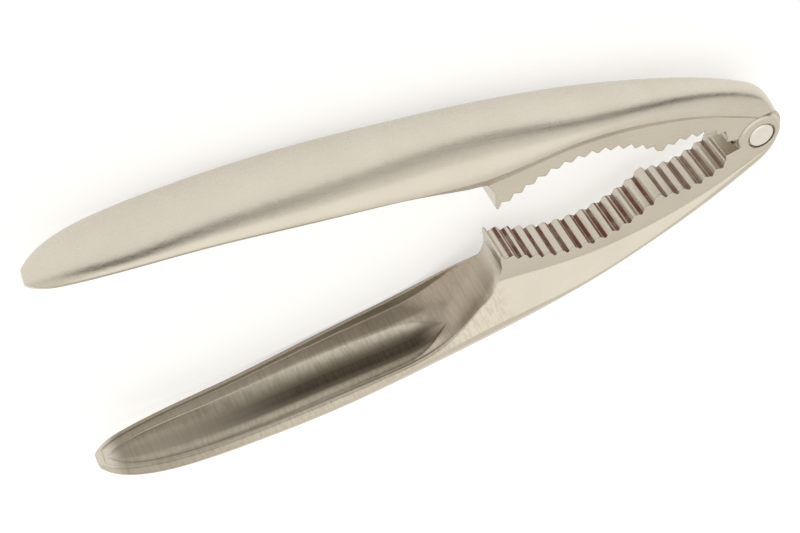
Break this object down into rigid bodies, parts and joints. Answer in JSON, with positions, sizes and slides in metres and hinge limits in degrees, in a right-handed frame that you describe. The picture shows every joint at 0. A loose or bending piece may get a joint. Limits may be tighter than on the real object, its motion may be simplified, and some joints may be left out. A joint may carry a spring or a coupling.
{
  "type": "nutcracker",
  "caption": "Hand nutcracker of two satin metal levers hinged on a rivet, with toothed cradles for walnuts and hazelnuts and hollow handles.",
  "frame": {"origin": "middle of the bounding box, on the surface that the tool lies on", "axes": "+X along the tool's middle line from the handle tips to the pivot; +Y towards the upper lever; +Z along the pivot axis, up from the surface"},
  "size_m": [0.1892, 0.0796, 0.0242],
  "materials": {
    "lever_metal": "satin nickel plate on a zinc casting",
    "rivet_steel": "polished rivet end"
  },
  "bodies": {
    "fixed_lever": {"lower_lever": "lever_metal", "pivot_rivet": "rivet_steel"},
    "moving_lever": {"upper_lever": "lever_metal"}
  },
  "joints": [
    {"name": "pivot", "type": "hinge", "parent": "fixed_lever", "child": "moving_lever", "pos_m": [0.08782, 0, 0.01203], "axis": [0, 0, -1], "range_deg": [-12.5, 75]}
  ]
}
